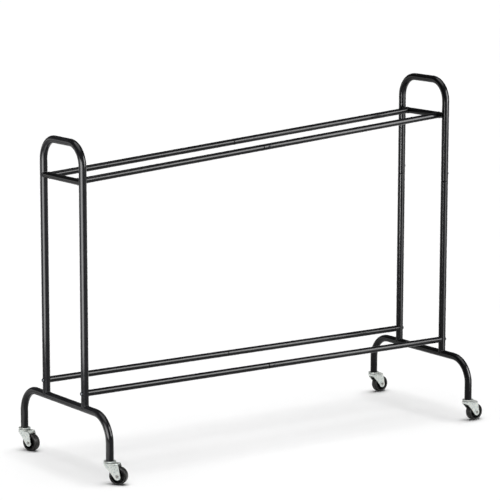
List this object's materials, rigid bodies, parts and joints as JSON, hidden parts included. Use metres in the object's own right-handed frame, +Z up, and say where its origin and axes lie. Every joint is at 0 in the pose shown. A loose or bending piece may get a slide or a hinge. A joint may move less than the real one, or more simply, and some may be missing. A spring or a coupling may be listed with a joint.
{
  "type": "ball cart",
  "caption": "Two-tier ball cart: two tubular end frames on swivel casters joined by four rails; the upper pair slopes so that balls roll to the lower end",
  "frame": {"origin": "on the floor under the middle of the cart's outline at rest", "axes": "+X along the rails to the taller end, -Y the front, +Z up"},
  "size_m": [1.365, 0.533, 1.0483],
  "materials": {
    "black_paint": "gloss black powder coat",
    "black_screw": "black oxide",
    "zinc_plate": "bright zinc plate",
    "wheel_plastic": "moulded",
    "tyre_rubber": "satin",
    "socket_plastic": "moulded"
  },
  "bodies": {
    "frame": {"left_foot_tube": "black_paint", "right_foot_tube": "black_paint", "left_end_hoop": "black_paint", "right_top_hoop": "black_paint", "right_front_post": "black_paint", "right_rear_post": "black_paint", "left_cross_bar": "black_paint", "right_cross_bar": "black_paint", "upper_front_rail_left": "black_paint", "upper_front_rail_right": "black_paint", "upper_rear_rail_left": "black_paint", "upper_rear_rail_right": "black_paint", "lower_front_rail_left": "black_paint", "lower_front_rail_right": "black_paint", "lower_rear_rail_left": "black_paint", "lower_rear_rail_right": "black_paint", "upper_front_rail_screw": "black_screw", "upper_rear_rail_screw": "black_screw", "lower_front_rail_screw": "black_screw", "lower_rear_rail_screw": "black_screw", "right_front_splice_screw": "black_screw", "right_rear_splice_screw": "black_screw", "left_front_rail_bolt": "black_screw", "left_rear_rail_bolt": "black_screw", "right_front_rail_bolt": "black_screw", "right_rear_rail_bolt": "black_screw", "left_front_rail_plug": "zinc_plate", "left_rear_rail_plug": "zinc_plate", "right_front_rail_plug": "zinc_plate", "right_rear_rail_plug": "zinc_plate", "left_front_stem_socket": "socket_plastic", "left_rear_stem_socket": "socket_plastic", "right_front_stem_socket": "socket_plastic", "right_rear_stem_socket": "socket_plastic", "left_front_caster_stem": "zinc_plate", "left_rear_caster_stem": "zinc_plate", "right_front_caster_stem": "zinc_plate", "right_rear_caster_stem": "zinc_plate", "left_front_ball_ring": "zinc_plate", "left_rear_ball_ring": "zinc_plate", "right_front_ball_ring": "zinc_plate", "right_rear_ball_ring": "zinc_plate"},
    "left_front_caster": {"left_front_fork": "zinc_plate", "left_front_axle": "zinc_plate"},
    "left_front_wheel": {"left_front_wheel_hub": "wheel_plastic", "left_front_tyre": "tyre_rubber"},
    "left_rear_caster": {"left_rear_fork": "zinc_plate", "left_rear_axle": "zinc_plate"},
    "left_rear_wheel": {"left_rear_wheel_hub": "wheel_plastic", "left_rear_tyre": "tyre_rubber"},
    "right_front_caster": {"right_front_fork": "zinc_plate", "right_front_axle": "zinc_plate"},
    "right_front_wheel": {"right_front_wheel_hub": "wheel_plastic", "right_front_tyre": "tyre_rubber"},
    "right_rear_caster": {"right_rear_fork": "zinc_plate", "right_rear_axle": "zinc_plate"},
    "right_rear_wheel": {"right_rear_wheel_hub": "wheel_plastic", "right_rear_tyre": "tyre_rubber"}
  },
  "joints": [
    {"name": "left_front_swivel", "type": "hinge", "parent": "frame", "child": "left_front_caster", "pos_m": [-0.6648, -0.2214, 0.061], "axis": [0, 0, 1], "continuous": true},
    {"name": "left_front_wheel_spin", "type": "hinge", "parent": "left_front_caster", "child": "left_front_wheel", "pos_m": [-0.64875, -0.24122, 0.0255], "axis": [0.7771, 0.6293, 0], "continuous": true},
    {"name": "left_rear_swivel", "type": "hinge", "parent": "frame", "child": "left_rear_caster", "pos_m": [-0.6648, 0.2486, 0.061], "axis": [0, 0, 1], "continuous": true},
    {"name": "left_rear_wheel_spin", "type": "hinge", "parent": "left_rear_caster", "child": "left_rear_wheel", "pos_m": [-0.65692, 0.22435, 0.0255], "axis": [0.9511, 0.309, 0], "continuous": true},
    {"name": "right_front_swivel", "type": "hinge", "parent": "frame", "child": "right_front_caster", "pos_m": [0.6312, -0.2214, 0.061], "axis": [0, 0, 1], "continuous": true},
    {"name": "right_front_wheel_spin", "type": "hinge", "parent": "right_front_caster", "child": "right_front_wheel", "pos_m": [0.6567, -0.22096, 0.0255], "axis": [-0.0175, 0.9998, 0], "continuous": true},
    {"name": "right_rear_swivel", "type": "hinge", "parent": "frame", "child": "right_rear_caster", "pos_m": [0.6312, 0.2486, 0.061], "axis": [0, 0, 1], "continuous": true},
    {"name": "right_rear_wheel_spin", "type": "hinge", "parent": "right_rear_caster", "child": "right_rear_wheel", "pos_m": [0.65667, 0.24993, 0.0255], "axis": [-0.0523, 0.9986, 0], "continuous": true}
  ]
}
